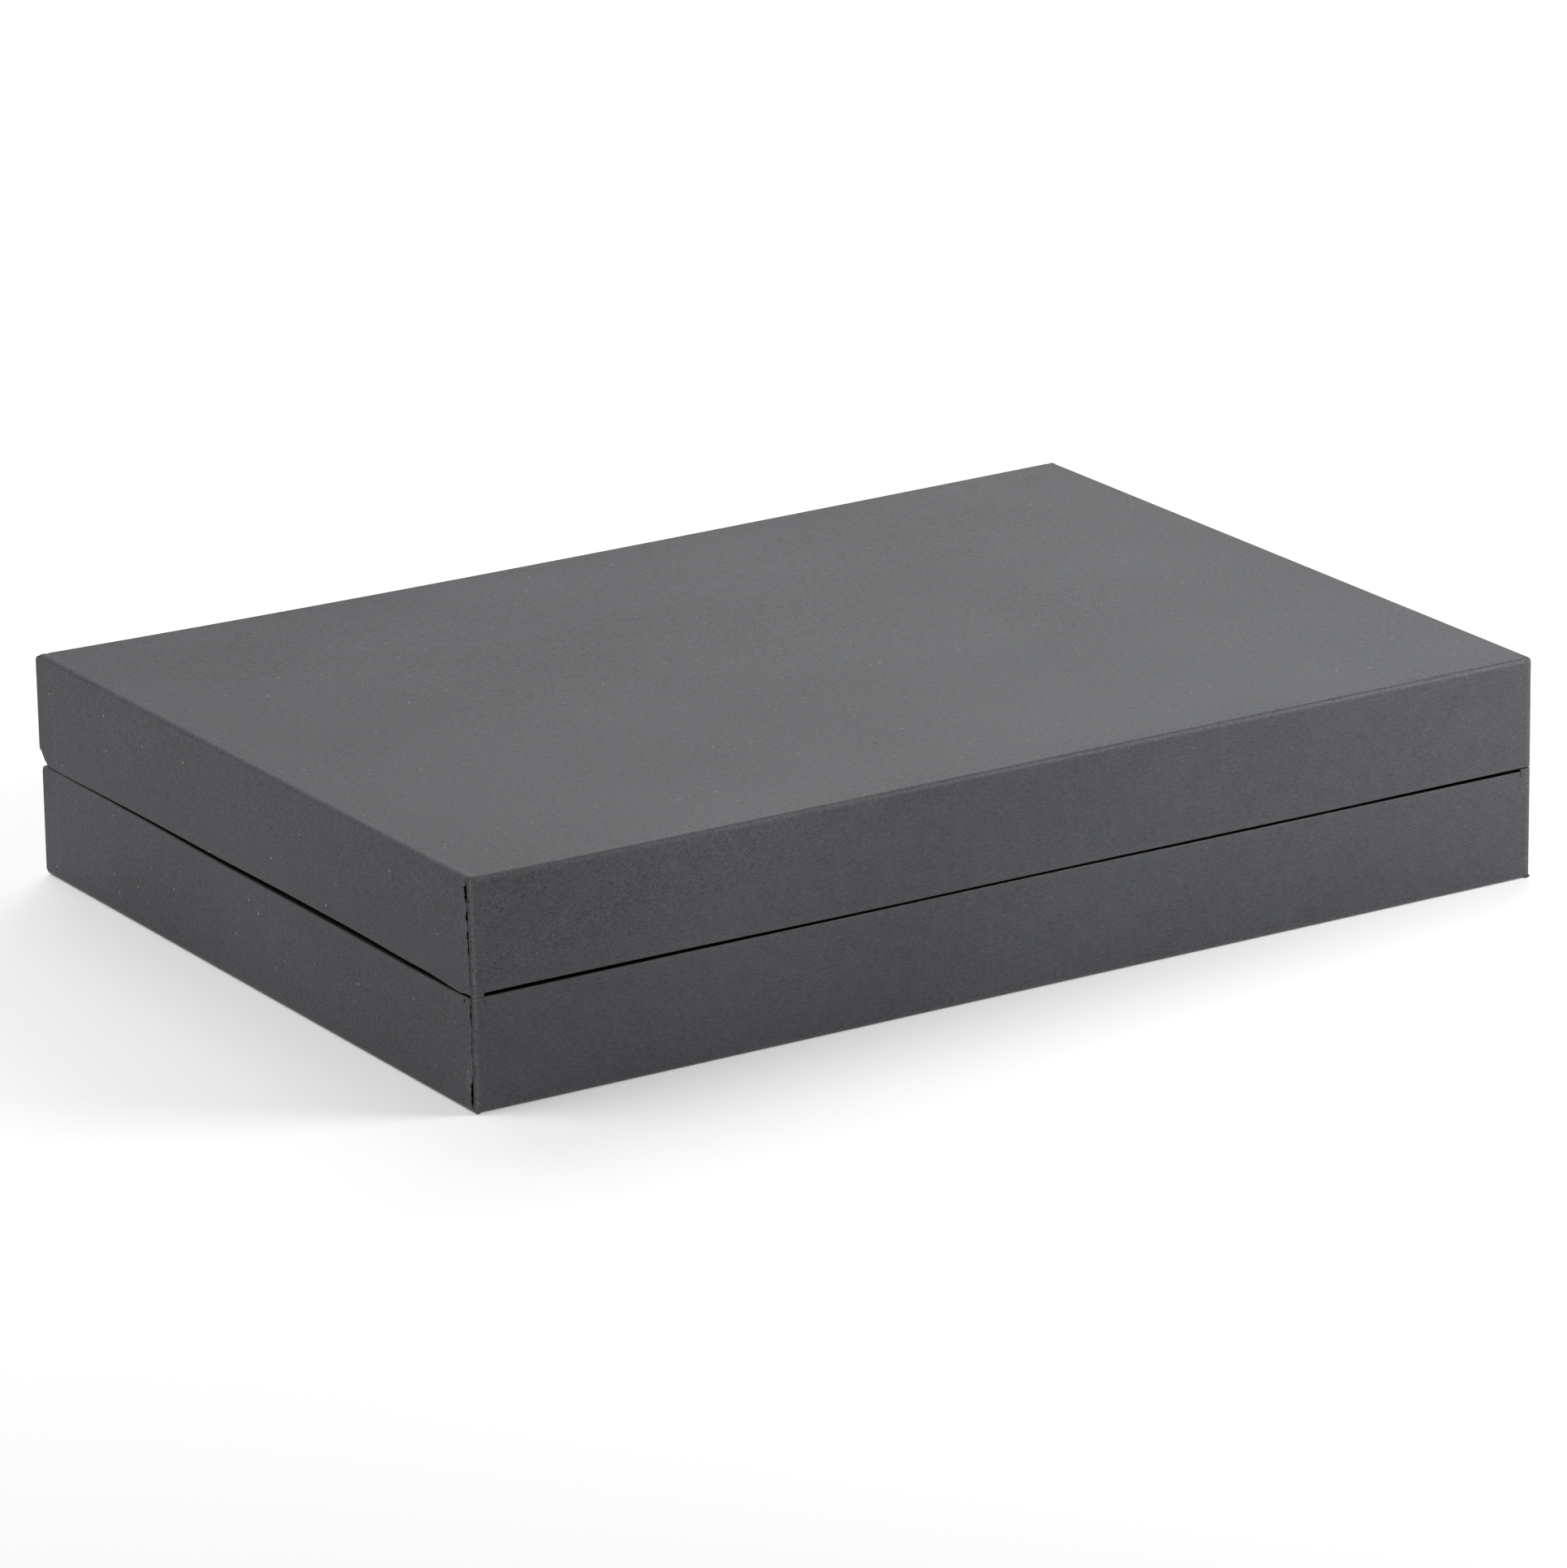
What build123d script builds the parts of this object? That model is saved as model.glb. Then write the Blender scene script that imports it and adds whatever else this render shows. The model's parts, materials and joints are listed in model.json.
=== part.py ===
from build123d import *
import os

# A clamshell archival box: two shallow trays of the same outline, folded from
# one kind of grey board and joined along the back by a creased board hinge.
#
# Frame, in millimetres: X runs along the box, Y from the front (-Y) to the
# hinge (+Y), Z up. The origin is the middle of the underside.

# ---- driving dimensions of the closed box -------------------------------
LENGTH = 325.0
WIDTH = 224.0
HEIGHT = 61.5
BOARD = 1.6            # thickness of the board
PLY_GAP = 0.1          # air between boards that are folded against each other
FOLD_R = 1.8           # outer radius of a creased fold
SEAM_GAP = 0.9         # slot that shows between the two closed trays

# ---- details ---------------------------------------------------------------
NIB_RISE = 0.3         # raw ends of the front wall stand this much above the rim
END_SLIT = 0.5         # open slit between an end wall and the front corner fold
FLAP_REACH = 62.0      # how far a corner flap runs between the two end walls
FLAP_TAPER = 6.0       # corner cut off the free end of a flap
FLAP_CLEAR = 0.4       # air above and below the flap inside the double wall
FOLD_CUT = 0.5         # height at which the cut edge of a corner fold starts
HINGE_RELIEF = 4.5     # corner cut away beside the hinge on the lid
BASE_RELIEF = 2.0      # corner rounding beside the hinge on the base
EAR_R = 1.5            # rounded free corner of an end wall at the back crease
RIM_REAR_STOP = 5.0    # an end wall's rolled rim stops this far before the back
BUTT_GAP = 0.3         # gap where one rolled rim meets the next wall
HINGE_THICK = 0.8      # board left in the crushed hinge crease
HINGE_INSET = 8.0      # the hinge crease stops this far inside each end
OVERCUT = 1.0          # cutters start this far outside the face they cut

# ---- derived places, measured on the base tray -----------------------------
LEFT = -LENGTH / 2
FRONT = -WIDTH / 2
BACK = WIDTH / 2
TRAY_TOP = (HEIGHT - SEAM_GAP) / 2
NIB_TOP = TRAY_TOP + NIB_RISE
PLY = BOARD + PLY_GAP
FRONT_WALL = BOARD + PLY
END_WALL = BOARD + 2 * PLY
HAIRPIN_R = FRONT_WALL / 2
FLAP_TOP = TRAY_TOP - BOARD - FLAP_CLEAR
END_RIM_START = FRONT_WALL + BUTT_GAP
FRONT_RIM_INSET = PLY + BOARD + BUTT_GAP
MID_PLANE = Plane.XY.offset(HEIGHT / 2)
END_PLANE = Plane(origin=(LEFT, 0, 0), x_dir=(0, 1, 0), z_dir=(1, 0, 0))


def block(x, y, z):
    """Rectangular solid between three (low, high) pairs."""
    size = [high - low for low, high in (x, y, z)]
    middle = [(high + low) / 2 for low, high in (x, y, z)]
    return Pos(*middle) * Box(*size)


def along_x(section, start, end):
    """Section drawn with inward and up, facing back from the front wall."""
    plane = Plane(origin=(start, FRONT, 0), x_dir=(0, 1, 0), z_dir=(1, 0, 0))
    return extrude(plane * section, end - start)


def along_y(section, start, end):
    """Section drawn with inward and up, facing right from the left wall."""
    plane = Plane(origin=(LEFT, end, 0), x_dir=(1, 0, 0), z_dir=(0, -1, 0))
    return extrude(plane * section, end - start)


def upright(section, low, high):
    """Section drawn in plan from the front left corner, raised to a height."""
    return extrude(Pos(LEFT, FRONT, low) * section, high - low)


def arc_band(centre, radius, start, sweep):
    """Outer and inner arcs of board bent to an outer radius, with end lines."""
    outer = CenterArc(centre, radius, start, sweep)
    inner = CenterArc(centre, radius - BOARD, start, sweep)
    return outer, inner


def folded_wall_section(top):
    """Wall with the quarter-round fold that joins it to its floor."""
    outer, inner = arc_band((FOLD_R, FOLD_R), FOLD_R, 180, 90)
    return make_face([
        outer,
        Line(outer @ 1, inner @ 1),
        inner,
        Line(inner @ 0, (BOARD, top)),
        Line((BOARD, top), (0, top)),
        Line((0, top), outer @ 0),
    ])


def rim_section(width, radius):
    """Rolled rim: up the outside, over the top and down the inside."""
    low = TRAY_TOP - radius
    left_out, left_in = arc_band((radius, low), radius, 180, -90)
    right_out, right_in = arc_band((width - radius, low), radius, 90, -90)
    edges = [left_out, right_out, Line(right_out @ 1, right_in @ 1)]
    edges += [right_in, left_in, Line(left_in @ 0, left_out @ 0)]
    if width > 2 * radius:
        edges += [Line(left_out @ 1, right_out @ 0), Line(left_in @ 1, right_in @ 0)]
    return make_face(edges)


def floor_panel():
    return block((LEFT + FOLD_R, -LEFT - FOLD_R), (FRONT + FOLD_R, BACK - FOLD_R), (0, BOARD))


def front_outer_wall():
    """Creased wall whose raw ends stand proud of the rolled rim."""
    start = LEFT + FOLD_R
    wall = along_x(folded_wall_section(NIB_TOP), start, -start)
    rim_span = (LEFT + FRONT_RIM_INSET, -LEFT - FRONT_RIM_INSET)
    rim_depth = (FRONT - OVERCUT, FRONT + FRONT_WALL)
    return wall - block(rim_span, rim_depth, (TRAY_TOP - HAIRPIN_R, HEIGHT))


def front_rim():
    start = LEFT + FRONT_RIM_INSET
    return along_x(rim_section(FRONT_WALL, HAIRPIN_R), start, -start)


def front_inner_wall():
    start = LEFT + FRONT_RIM_INSET
    return block((start, -start), (FRONT + PLY, FRONT + FRONT_WALL), (FOLD_R, TRAY_TOP - HAIRPIN_R))


def back_wall(relief):
    """Single wall that ends at the hinge crease, its corners relieved."""
    start = LEFT + PLY + FOLD_R
    wall = mirror(along_x(folded_wall_section(TRAY_TOP), start, -start), about=Plane.XZ)
    corner = make_face(Polyline((0, 0), (relief, 0), (0, -relief), close=True))
    outside = Plane(origin=(start, BACK + OVERCUT, TRAY_TOP), x_dir=(1, 0, 0), z_dir=(0, -1, 0))
    cut = extrude(outside * corner, BOARD + 2 * OVERCUT)
    return wall - cut - mirror(cut, about=Plane.YZ)


def rear_corner_cut(relief, rounded):
    """Cutter for the top back corner of everything inside an end wall."""
    low = TRAY_TOP - relief
    near = BACK - relief
    outline = [Line((near, TRAY_TOP), (BACK, TRAY_TOP)), Line((BACK, TRAY_TOP), (BACK, low))]
    if rounded:
        outline.append(CenterArc((near, low), relief, 0, 90))
    else:
        outline.append(Line((BACK, low), (near, TRAY_TOP)))
    return extrude(END_PLANE * make_face(outline), END_WALL + FOLD_R)


def rear_ear():
    """Flat free end of an end wall, beyond its fold, with a rounded corner."""
    fold_end = BACK - FOLD_R
    corner = CenterArc((BACK - EAR_R, EAR_R), EAR_R, -90, 90)
    outline = make_face([
        Line((fold_end, 0), corner @ 0),
        corner,
        Line(corner @ 1, (BACK, TRAY_TOP)),
        Line((BACK, TRAY_TOP), (fold_end, TRAY_TOP)),
        Line((fold_end, TRAY_TOP), (fold_end, 0)),
    ])
    return extrude(END_PLANE * outline, BOARD)


def end_outer_wall(rear_cut):
    """Wall over the corner flaps, its front edge pared to sit on the fold."""
    slit = FOLD_R + END_SLIT
    wall = along_y(folded_wall_section(TRAY_TOP), FRONT + slit, BACK - FOLD_R) + rear_ear()
    pared = make_face(Polyline((0, slit), (FOLD_R, slit), (FOLD_R, slit + FOLD_R), close=True))
    rim_span = (FRONT + END_RIM_START, BACK - RIM_REAR_STOP)
    rim_room = block((LEFT, LEFT + BOARD), rim_span, (TRAY_TOP - FOLD_R, TRAY_TOP))
    return wall - upright(pared, 0, TRAY_TOP) - rim_room - rear_cut


def end_rim():
    return along_y(rim_section(END_WALL, FOLD_R), FRONT + END_RIM_START, BACK - RIM_REAR_STOP)


def end_inner_wall(rear_cut):
    x = (LEFT + 2 * PLY, LEFT + END_WALL)
    y = (FRONT + END_RIM_START, BACK - PLY)
    return block(x, y, (BOARD, TRAY_TOP - FOLD_R)) - rear_cut


def flap_blade(start, stop):
    """Flat part of a corner flap, its free corners cut off."""
    low = BOARD + FLAP_CLEAR
    turn = FLAP_TAPER if stop > start else -FLAP_TAPER
    outline = make_face(Polyline(
        (start, low), (stop - turn, low), (stop, low + FLAP_TAPER),
        (stop, FLAP_TOP - FLAP_TAPER), (stop - turn, FLAP_TOP), (start, FLAP_TOP), close=True))
    return extrude(END_PLANE.offset(PLY) * outline, BOARD)


def front_flap():
    """Corner fold flush with the end, a shoulder inwards, then the blade."""
    outer, inner = arc_band((FOLD_R, FOLD_R), FOLD_R, 180, 90)
    fold = make_face([outer, Line(outer @ 1, inner @ 1), inner, Line(inner @ 0, outer @ 0)])
    shoulder_end = FOLD_R + PLY
    shoulder = make_face(Polyline(
        (0, FOLD_R), (BOARD, FOLD_R), (PLY + BOARD, shoulder_end), (PLY, shoulder_end), close=True))
    corner = upright(fold, FOLD_CUT, NIB_TOP) + upright(shoulder, BOARD + FLAP_CLEAR, NIB_TOP)
    blade_start = FRONT + shoulder_end
    return corner + flap_blade(blade_start, blade_start + FLAP_REACH)


def back_flap(rear_cut):
    """Corner fold tucked behind the end wall, then the blade."""
    outer, inner = arc_band((PLY + FOLD_R, WIDTH - FOLD_R), FOLD_R, 90, 90)
    fold = make_face([outer, Line(outer @ 1, inner @ 1), inner, Line(inner @ 0, outer @ 0)])
    blade_start = BACK - FOLD_R
    corner = upright(fold, FOLD_CUT, TRAY_TOP)
    return (corner + flap_blade(blade_start, blade_start - FLAP_REACH)) - rear_cut


def hinge_strip():
    """Crushed crease that joins the two back walls."""
    start = LEFT + HINGE_INSET
    y = (BACK - HINGE_THICK, BACK)
    return block((start, -start), y, (TRAY_TOP, NIB_TOP + NIB_RISE))


def tray(relief, rounded):
    """All boards of one tray, lying as the base does, by plain name."""
    rear_cut = rear_corner_cut(relief, rounded)
    panels = {
        "front_outer_wall": front_outer_wall(),
        "front_rim": front_rim(),
        "front_inner_wall": front_inner_wall(),
        "back_wall": back_wall(relief),
    }
    left = {
        "outer_wall": end_outer_wall(rear_cut),
        "rim": end_rim(),
        "inner_wall": end_inner_wall(rear_cut),
        "front_flap": front_flap(),
        "back_flap": back_flap(rear_cut),
    }
    for name, solid in left.items():
        panels[f"left_{name}"] = solid
        panels[f"right_{name}"] = mirror(solid, about=Plane.YZ)
    return panels


def main():
    nodes = {"base_bottom_panel": floor_panel(), "hinge_strip": hinge_strip()}
    nodes["lid_top_panel"] = mirror(floor_panel(), about=MID_PLANE)
    for name, solid in tray(BASE_RELIEF, rounded=True).items():
        nodes[f"base_{name}"] = solid
    for name, solid in tray(HINGE_RELIEF, rounded=False).items():
        nodes[f"lid_{name}"] = mirror(solid, about=MID_PLANE)
    os.makedirs("parts", exist_ok=True)
    for name, solid in nodes.items():
        export_step(solid, f"parts/{name}.step")


main()
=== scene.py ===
"""Looks of the clamshell archival box: every board of both trays, its lights, floor and camera.

Lengths are in millimetres until a mesh is made. A tray is drawn in its own corner coordinates:
u inwards from an end's outer face, v back from the front's outer face, h from the tray's outer
floor towards its rim. The lid is the same tray turned over.
"""
import json
import math
import bpy
import numpy as np
from mathutils import Matrix, Vector

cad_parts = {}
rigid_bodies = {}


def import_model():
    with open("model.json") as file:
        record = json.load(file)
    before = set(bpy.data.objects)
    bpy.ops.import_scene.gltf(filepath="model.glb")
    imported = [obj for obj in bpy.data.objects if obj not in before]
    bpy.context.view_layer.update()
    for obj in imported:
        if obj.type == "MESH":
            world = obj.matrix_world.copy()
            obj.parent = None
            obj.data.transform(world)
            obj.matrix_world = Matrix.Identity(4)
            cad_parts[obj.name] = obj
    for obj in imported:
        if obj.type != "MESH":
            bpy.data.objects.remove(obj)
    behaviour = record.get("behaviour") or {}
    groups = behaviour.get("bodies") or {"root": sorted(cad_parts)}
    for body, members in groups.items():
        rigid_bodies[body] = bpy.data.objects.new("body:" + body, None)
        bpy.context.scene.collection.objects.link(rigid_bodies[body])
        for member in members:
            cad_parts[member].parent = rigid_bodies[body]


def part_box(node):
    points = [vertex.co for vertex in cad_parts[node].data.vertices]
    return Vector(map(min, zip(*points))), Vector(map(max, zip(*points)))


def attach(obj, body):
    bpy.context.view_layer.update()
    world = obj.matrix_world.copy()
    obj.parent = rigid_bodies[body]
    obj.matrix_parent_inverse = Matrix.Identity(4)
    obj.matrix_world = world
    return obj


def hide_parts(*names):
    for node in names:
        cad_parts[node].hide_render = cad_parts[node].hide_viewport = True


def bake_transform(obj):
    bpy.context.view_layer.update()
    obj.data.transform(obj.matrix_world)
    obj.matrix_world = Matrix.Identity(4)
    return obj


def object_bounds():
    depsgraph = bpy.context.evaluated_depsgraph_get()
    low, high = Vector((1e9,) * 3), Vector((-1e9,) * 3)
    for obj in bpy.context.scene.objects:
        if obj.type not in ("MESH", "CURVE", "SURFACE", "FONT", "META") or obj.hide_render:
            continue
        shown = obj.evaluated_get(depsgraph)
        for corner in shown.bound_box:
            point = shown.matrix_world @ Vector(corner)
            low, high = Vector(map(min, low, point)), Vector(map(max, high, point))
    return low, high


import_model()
cad_low, cad_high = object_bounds()

MM = 0.001
TINY = 0.02


def extent(node):
    """Lowest and highest corner of a CAD node, in millimetres."""
    low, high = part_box(node)
    return np.array(low) / MM, np.array(high) / MM


# ---- sizes, all read from the frame ---------------------------------------------
HALF_X, BACK, HEIGHT = (c / MM for c in cad_high)
FRONT = cad_low.y / MM
WIDTH = BACK - FRONT
LENGTH = 2 * HALF_X
rim_low, rim_high = extent("base_left_rim")
front_rim_low, front_rim_high = extent("base_front_rim")
lining_low, lining_high = extent("base_front_inner_wall")
BOARD = lining_high[1] - lining_low[1]
RIM_TOP = rim_high[2]
REACH = rim_high[2] - rim_low[2]                # how far a fold's piece reaches from its corner
END_WALL = rim_high[0] - rim_low[0]
FRONT_WALL = front_rim_high[1] - front_rim_low[1]
HAIRPIN = FRONT_WALL / 2
PLY = (END_WALL - BOARD) / 2
FRONT_RIM_INSET = front_rim_low[0] + HALF_X
END_RIM = (rim_low[1] - FRONT, rim_high[1] - FRONT)
BACK_WALL_INSET = extent("base_back_wall")[0][0] + HALF_X
FLAP_END = extent("base_left_front_flap")[1][1] - FRONT
REAR_FLAP_START = extent("base_left_back_flap")[0][1] - FRONT
HINGE = extent("hinge_strip")

# ---- shape of the folded board ---------------------------------------------------
GRID = 3.0                 # spacing of the mesh along flat board
CUT_R = 0.18               # softening of a cut edge
NIB_SOFTENING = 0.2        # share of it on the nibs beside the corners
NIB_SIDE = 0.3             # slant of a nib's side
STRIP = 1.2                # top of a wall that is stretched up to a nib or down to a torn corner
REAR_STRIP = 8.0           # the same beside the hinge
CREASE_R = 1.3             # outside rounding of a crease
RIM_R = 0.55               # outside rounding of the pressed rims
CORNER_R = 0.6             # outside rounding of the upright corners
LID_RELIEF = 4.4           # torn corner beside the hinge on the lid
BASE_RELIEF = 1.8
EAR = (4.0, 2.0)           # rounding of an end wall's free corner, along and up
FLAKE_TAPER = 1.0
TONGUE = -0.4              # a flake at the base's front corners reaches this far past the front
BASE_SETBACK = 1.2         # the base's end walls stop this far short of the lid's
FLAP_TAPER = 6.0
SHOULDER = 0.8             # length over which a corner turns in behind the end wall
FLAP_PLAY = 0.4            # gap between a flap's blade and the floor or the rim
SAG = 1.05                 # droop of the lid's back edge at mid length
SAG_SKEW = 0.35            # how much more it droops on the left than on the right
SAG_POWER = 5              # how late the droop sets in from front to back
ROLL_OFF = {"lid": (0.3, 0.35, 0.0), "base": (0.05, 0.35, 0.1)}   # at the front, back and end creases
ROLL_WIDTH = 6.0
RIPPLE = 0.12              # soft unevenness of the broad panels
LEAN = {"lid": (-0.3, 0.0), "base": (0.2, 0.0)}     # sideways shift at the floor and at the rim
LEAN_BACK = (0.8, 40.0, 60.0)    # of the lid's front left corner, and how far it fades along and back
CORNER_LIFT = (0.25, 5.0)  # how far the lid's front left corner is pulled up, and over what width
SEAM_CLIMBS = ((0.1, 40, 30), (0.58, 120, 60))     # of the ends' seam towards the hinge, along the depth
SEAM_DIP = {"base": 0.12, "lid": 0.46}             # of the ends' seam behind the front corners
DIP_AT, DIP_WIDTH = 30.0, 15.0
SEAM_GAPE = 1.3            # how far the ends' seam opens, between its two ends below
GAPE_FRONT, GAPE_BACK = (2.0, 24.0), (206.0, 110.0)     # where it opens and closes, and over what length
GAPE_POWER = 0.9
END_LEVEL = {"base": -0.2, "lid": 1.1}             # of an end's rim before its dips and climbs
LID_SHARE = 0.9            # share of the base's seam line that the lid follows
END_NIB = {"base": -0.4, "lid": 0.1}    # top of an end wall's front nib, above or below the rim
RIM_SLOPE = (1.1, 1.8)     # how far a rim falls away inwards, and over what width
NIB_TOPS = {("base", "left"): 30.32, ("base", "right"): 30.85,
            ("lid", "left"): 31.12, ("lid", "right"): 30.3}
CREASE_DENT = 0.12         # the hinge crease is dented this much in the middle
CREASE_INSET = 0.05        # and lies this far in from the back's face
CREASE_LAP = 0.25          # it reaches this far past each back wall's edge
CLOSEST = 0.15             # no two columns of an end wall come nearer to each other without need


def waves(t, seed, lengths):
    """Smooth uneven line through zero: a sum of sines with seeded phases, about -1 to 1."""
    rng = np.random.default_rng(seed)
    total = 0.0
    for length in lengths:
        total = total + np.sin(2 * math.pi * (t / length + rng.random()))
    return total / math.sqrt(len(lengths))


def ragged(t, seed):
    """Torn-fibre unevenness of a cut edge, about -1 to 1."""
    return waves(t, seed, (9.0, 4.1, 2.3, 1.3, 0.8))


def smooth(t):
    t = np.clip(t, 0, 1)
    return t * t * (3 - 2 * t)


# ---- how the trays are out of true ------------------------------------------------
def climbed(t, climbs):
    """Sum of smooth climbs, each given as its height, where it starts and how long it is."""
    return sum(height * smooth((t - start) / length) for height, start, length in climbs)


def seam_rise(v, dip):
    """How the seam of the ends climbs towards the hinge and dips behind the front corners."""
    return climbed(v, SEAM_CLIMBS) - dip * np.exp(-((v - DIP_AT) / DIP_WIDTH) ** 2)


# a front rim's height at its left end, slope, extra height of its left end, climbs and ripple, all
# along the share of the length from the left; a ripple is its height, seed and wave lengths
FRONT_RIM = {
    "base": (0.23, 0.55, 0.0, ((-0.7, 0.25, 0.75),), (0.05, 3, (240.0, 110.0))),
    "lid": (-0.25, 0.0, 0.3, ((-0.25, 0.77, 0.14), (0.5, 0.0, 0.45), (0.27, 0.6, 0.35)),
            (0.04, 5, (170.0, 90.0))),
}
LEFT_FADE = 18             # how fast the extra height of the left end fades
CORNER_START, CORNER_LENGTH = 2.5, 3.0      # where a front rim's height gives way to an end rim's


def rim_lift(tray, x, v):
    """How far a rim stands above (+) or below (-) its true height, in its own tray."""
    share = (x + HALF_X) / LENGTH
    level, slope, left, climbs, (ripple, seed, lengths) = FRONT_RIM[tray]
    front = level + slope * share + left * np.exp(-LEFT_FADE * share) + climbed(share, climbs)
    front = front + ripple * waves(x, seed, lengths)
    rise = seam_rise(v, SEAM_DIP[tray])
    if tray == "base":
        ends = END_LEVEL[tray] + rise
    else:
        opening = smooth((v - GAPE_FRONT[0]) / GAPE_FRONT[1])
        closing = np.clip((GAPE_BACK[0] - v) / GAPE_BACK[1], 0, 1) ** GAPE_POWER
        ends = END_LEVEL[tray] - SEAM_GAPE * opening * closing - LID_SHARE * rise
    return front + (ends - front) * smooth((v - CORNER_START) / CORNER_LENGTH)


def warp(p, tray):
    """Bends a tray's boards, given as world millimetres, out of true together."""
    x, y, z = p[..., 0], p[..., 1], p[..., 2]
    v = y - FRONT
    h = z if tray == "base" else HEIGHT - z
    share = np.clip(h / RIM_TOP, 0, 1.1)
    near_floor = 1 - np.clip(share, 0, 1)
    across = 1 - (x / HALF_X) ** 2
    shift = rim_lift(tray, x, v) * share ** 2
    front_roll, back_roll, end_roll = ROLL_OFF[tray]
    distances = (HALF_X - np.abs(x), v, WIDTH - v)
    from_end, from_front, from_back = (np.clip(d, 0, None) / ROLL_WIDTH for d in distances)
    roll_off = front_roll * np.exp(-from_front) + back_roll * np.exp(-from_back)
    # the long creases roll off only away from the ends
    roll_off = roll_off * smooth(2.4 * from_end - 0.4) + end_roll * np.exp(-from_end)
    shift = shift + roll_off * near_floor
    # two slanting sets of waves, flat along the panel's borders
    ripple = waves(x + 0.6 * v, 11, (210.0, 131.0)) * waves(v - 0.3 * x, 12, (150.0, 97.0))
    inside = across * 4 * (v / WIDTH) * (1 - v / WIDTH)
    shift = shift + RIPPLE * (1 + ripple) * inside * near_floor
    out = p.copy()
    if tray == "lid":
        sag = SAG * across * (1 - SAG_SKEW * x / HALF_X)
        shift = shift + sag * np.clip(v / WIDTH, 0, 1) ** SAG_POWER * near_floor
        height, width = CORNER_LIFT
        shift = shift - height * np.exp(-np.hypot(x + HALF_X, v) / width) * near_floor
        lean, along, back = LEAN_BACK
        out[..., 1] = y + lean * np.exp(-(x + HALF_X) / along - np.clip(v, 0, None) / back) * near_floor
    lean_floor, lean_rim = LEAN[tray]
    out[..., 0] = x + lean_rim + (lean_floor - lean_rim) * near_floor
    out[..., 2] = h + shift if tray == "base" else HEIGHT - h - shift
    return out


# ---- making a board -----------------------------------------------------------------
def steps(low, high, spacing=GRID):
    """Positions from low to high, closer together beside both ends."""
    count = max(2, int(round((high - low) / spacing)))
    line = np.linspace(low, high, count + 1)
    close = [c for c in (low + 0.3, low + 1.0, high - 1.0, high - 0.3) if low + 0.2 < c < high - 0.2]
    return np.unique(np.concatenate([line, close]))


def merged(needed, wanted):
    """All the needed positions, and those wanted that are not right beside one already there."""
    kept = sorted(set(np.round(needed, 3)))
    for at in np.round(wanted, 3):
        if min(abs(at - other) for other in kept) > CLOSEST:
            kept.append(at)
    return np.array(sorted(kept))


TURN = np.array([0.0, 0.02, 0.09, 0.2, 0.32, 0.44, 0.56, 0.68, 0.8, 0.91, 0.98, 1.0])


def quarter_fold(centre, reach, radius, start, turn):
    """Outer and inner outline of a right-angled fold: a pressed corner with a rounded outside.

    centre is reach away from both outer faces; start and turn are the angle of the first outward
    direction and the signed quarter turn, in degrees.
    """
    centre = np.array(centre, float)
    angles = np.radians(start + turn * TURN)
    directions = np.stack([np.cos(angles), np.sin(angles)], 1)
    first, last = directions[0], directions[-1]
    heart = centre + (reach - radius) * (first + last)
    outer = heart + radius * directions
    inner = centre + max(reach - BOARD, TINY) * directions
    lead_in = [centre + reach * first, centre + reach * last]
    outer = np.concatenate([[lead_in[0]], outer, [lead_in[1]]])
    inner = np.concatenate([[inner[0]], inner, [inner[-1]]])
    inner[0] = inner[1] - TINY * last
    inner[-1] = inner[-2] - TINY * first
    return outer, inner


def flat_run(start, end, out, spacing=GRID):
    """Outer and inner outline of a flat stretch whose outside faces out."""
    start, end = np.array(start, float), np.array(end, float)
    length = np.linalg.norm(end - start)
    at = steps(0, length, spacing)[:, None] / length
    outer = start + at * (end - start)
    return outer, outer - BOARD * np.array(out, float)


def join(*runs):
    """One outline from several runs, dropping points that repeat."""
    outer = np.concatenate([r[0] for r in runs])
    inner = np.concatenate([r[1] for r in runs])
    keep = np.ones(len(outer), bool)
    keep[1:] = np.linalg.norm(np.diff(outer, axis=0), axis=1) > 1e-6
    return outer[keep], inner[keep]


def to_world(p, tray, side):
    """Corner coordinates (u, v, h) to world millimetres."""
    out = p.copy()
    out[..., 0] = HALF_X - p[..., 0] if side == "right" else p[..., 0] - HALF_X
    out[..., 1] = p[..., 1] + FRONT
    out[..., 2] = p[..., 2] if tray == "base" else HEIGHT - p[..., 2]
    return out


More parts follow.
